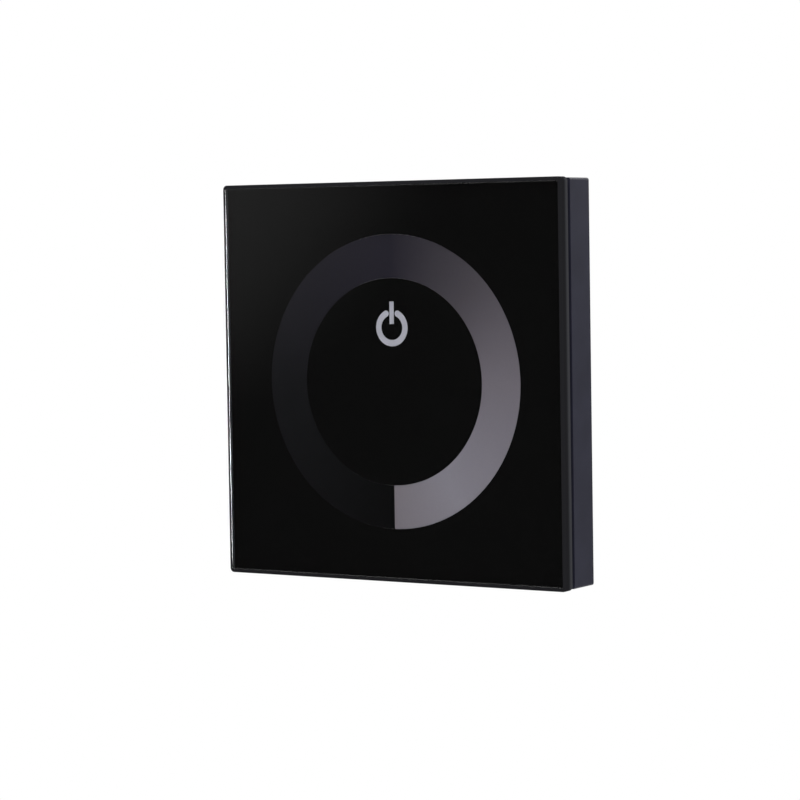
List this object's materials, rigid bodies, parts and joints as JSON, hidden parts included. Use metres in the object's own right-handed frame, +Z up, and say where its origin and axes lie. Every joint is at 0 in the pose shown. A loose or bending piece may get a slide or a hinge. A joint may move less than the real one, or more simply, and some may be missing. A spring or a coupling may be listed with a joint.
{
  "type": "touch panel dimmer",
  "caption": "Square glass touch dimmer for LED light: black glass with a grey dimming ring and a power symbol on a moulded frame, snapped over a rear box with screw terminals.",
  "frame": {"origin": "midway between the two wall screws, in the plane of the wall", "axes": "+X right seen from the room, +Y into the wall, +Z up"},
  "size_m": [0.086, 0.0362, 0.086],
  "materials": {
    "clear_glass": "polished float glass with ground edges",
    "black_ink": "black ceramic print seen through glass",
    "ring_ink": "grey print that fades to black round the ring",
    "symbol_ink": "light grey translucent print",
    "diffuser_film": "milky film",
    "foam_tape": "black adhesive foam",
    "frame_plastic": "moulded plastic, fine texture, blue grey",
    "housing_plastic": "moulded plastic, sparked texture, dark grey",
    "board_mask": "green solder mask on glass fibre",
    "copper": "etched copper under mask",
    "chip_epoxy": "moulded epoxy",
    "component_ceramic": "ceramic with tinned ends",
    "lamp_white": "white lamp with clear lens",
    "connector_black": "moulded connector plastic",
    "gold_pins": "gold plated pins",
    "terminal_green": "green moulded plastic",
    "tinned_brass": "tinned brass strip",
    "nickel_steel": "nickel plated steel",
    "zinc_steel": "zinc plated steel",
    "can_aluminium": "aluminium can",
    "ferrite": "grey ferrite"
  },
  "bodies": {
    "wall_base": {"rear_housing": "housing_plastic", "board_cover": "housing_plastic", "cover_screws": "zinc_steel", "main_board": "board_mask", "board_screws": "zinc_steel", "board_socket": "connector_black", "socket_contacts": "gold_pins", "microcontroller": "chip_epoxy", "voltage_regulator": "chip_epoxy", "buzzer": "connector_black", "board_passives": "component_ceramic", "output_mosfets": "chip_epoxy", "filter_capacitors": "can_aluminium", "power_inductor": "ferrite", "input_terminal": "terminal_green", "output_terminal": "terminal_green", "terminal_contacts": "tinned_brass"},
    "front_panel": {"glass_panel": "clear_glass", "ink_mask": "black_ink", "brightness_ring": "ring_ink", "power_symbol": "symbol_ink", "diffuser_sheet": "diffuser_film", "glass_tape": "foam_tape", "touch_board": "board_mask", "touch_pads": "copper", "touch_chip": "chip_epoxy", "touch_passives": "component_ceramic", "indicator_led": "lamp_white", "header_insulator": "connector_black", "header_pins": "gold_pins", "front_frame": "frame_plastic", "snap_hooks": "frame_plastic"},
    "screw_1": {"terminal_screw_1": "nickel_steel"},
    "cage_1": {"wire_cage_1": "nickel_steel"},
    "screw_2": {"terminal_screw_2": "nickel_steel"},
    "cage_2": {"wire_cage_2": "nickel_steel"},
    "screw_3": {"terminal_screw_3": "nickel_steel"},
    "cage_3": {"wire_cage_3": "nickel_steel"},
    "screw_4": {"terminal_screw_4": "nickel_steel"},
    "cage_4": {"wire_cage_4": "nickel_steel"},
    "screw_5": {"terminal_screw_5": "nickel_steel"},
    "cage_5": {"wire_cage_5": "nickel_steel"},
    "screw_6": {"terminal_screw_6": "nickel_steel"},
    "cage_6": {"wire_cage_6": "nickel_steel"}
  },
  "joints": [
    {"name": "front_pull", "type": "slide", "parent": "wall_base", "child": "front_panel", "axis": [0, -1, 0], "range_m": [0, 0.02], "deforming": ["snap_hooks"]},
    {"name": "screw_turn_1", "type": "hinge", "parent": "wall_base", "child": "screw_1", "pos_m": [-0.0136, 0.0144, -0.0208], "axis": [0, -1, 0], "range_deg": [0, 1920]},
    {"name": "cage_lift_1", "type": "slide", "parent": "wall_base", "child": "cage_1", "axis": [0, 1, 0], "range_m": [0, 0.0024]},
    {"name": "screw_turn_2", "type": "hinge", "parent": "wall_base", "child": "screw_2", "pos_m": [-0.00852, 0.0144, -0.0208], "axis": [0, -1, 0], "range_deg": [0, 1920]},
    {"name": "cage_lift_2", "type": "slide", "parent": "wall_base", "child": "cage_2", "axis": [0, 1, 0], "range_m": [0, 0.0024]},
    {"name": "screw_turn_3", "type": "hinge", "parent": "wall_base", "child": "screw_3", "pos_m": [-0.00164, 0.0144, -0.0208], "axis": [0, -1, 0], "range_deg": [0, 1920]},
    {"name": "cage_lift_3", "type": "slide", "parent": "wall_base", "child": "cage_3", "axis": [0, 1, 0], "range_m": [0, 0.0024]},
    {"name": "screw_turn_4", "type": "hinge", "parent": "wall_base", "child": "screw_4", "pos_m": [0.00344, 0.0144, -0.0208], "axis": [0, -1, 0], "range_deg": [0, 1920]},
    {"name": "cage_lift_4", "type": "slide", "parent": "wall_base", "child": "cage_4", "axis": [0, 1, 0], "range_m": [0, 0.0024]},
    {"name": "screw_turn_5", "type": "hinge", "parent": "wall_base", "child": "screw_5", "pos_m": [0.00852, 0.0144, -0.0208], "axis": [0, -1, 0], "range_deg": [0, 1920]},
    {"name": "cage_lift_5", "type": "slide", "parent": "wall_base", "child": "cage_5", "axis": [0, 1, 0], "range_m": [0, 0.0024]},
    {"name": "screw_turn_6", "type": "hinge", "parent": "wall_base", "child": "screw_6", "pos_m": [0.0136, 0.0144, -0.0208], "axis": [0, -1, 0], "range_deg": [0, 1920]},
    {"name": "cage_lift_6", "type": "slide", "parent": "wall_base", "child": "cage_6", "axis": [0, 1, 0], "range_m": [0, 0.0024]}
  ],
  "couplings": [
    {"joint": "screw_turn_1", "follows": "cage_lift_1", "rad_per_m": 13963},
    {"joint": "screw_turn_2", "follows": "cage_lift_2", "rad_per_m": 13963},
    {"joint": "screw_turn_3", "follows": "cage_lift_3", "rad_per_m": 13963},
    {"joint": "screw_turn_4", "follows": "cage_lift_4", "rad_per_m": 13963},
    {"joint": "screw_turn_5", "follows": "cage_lift_5", "rad_per_m": 13963},
    {"joint": "screw_turn_6", "follows": "cage_lift_6", "rad_per_m": 13963}
  ]
}
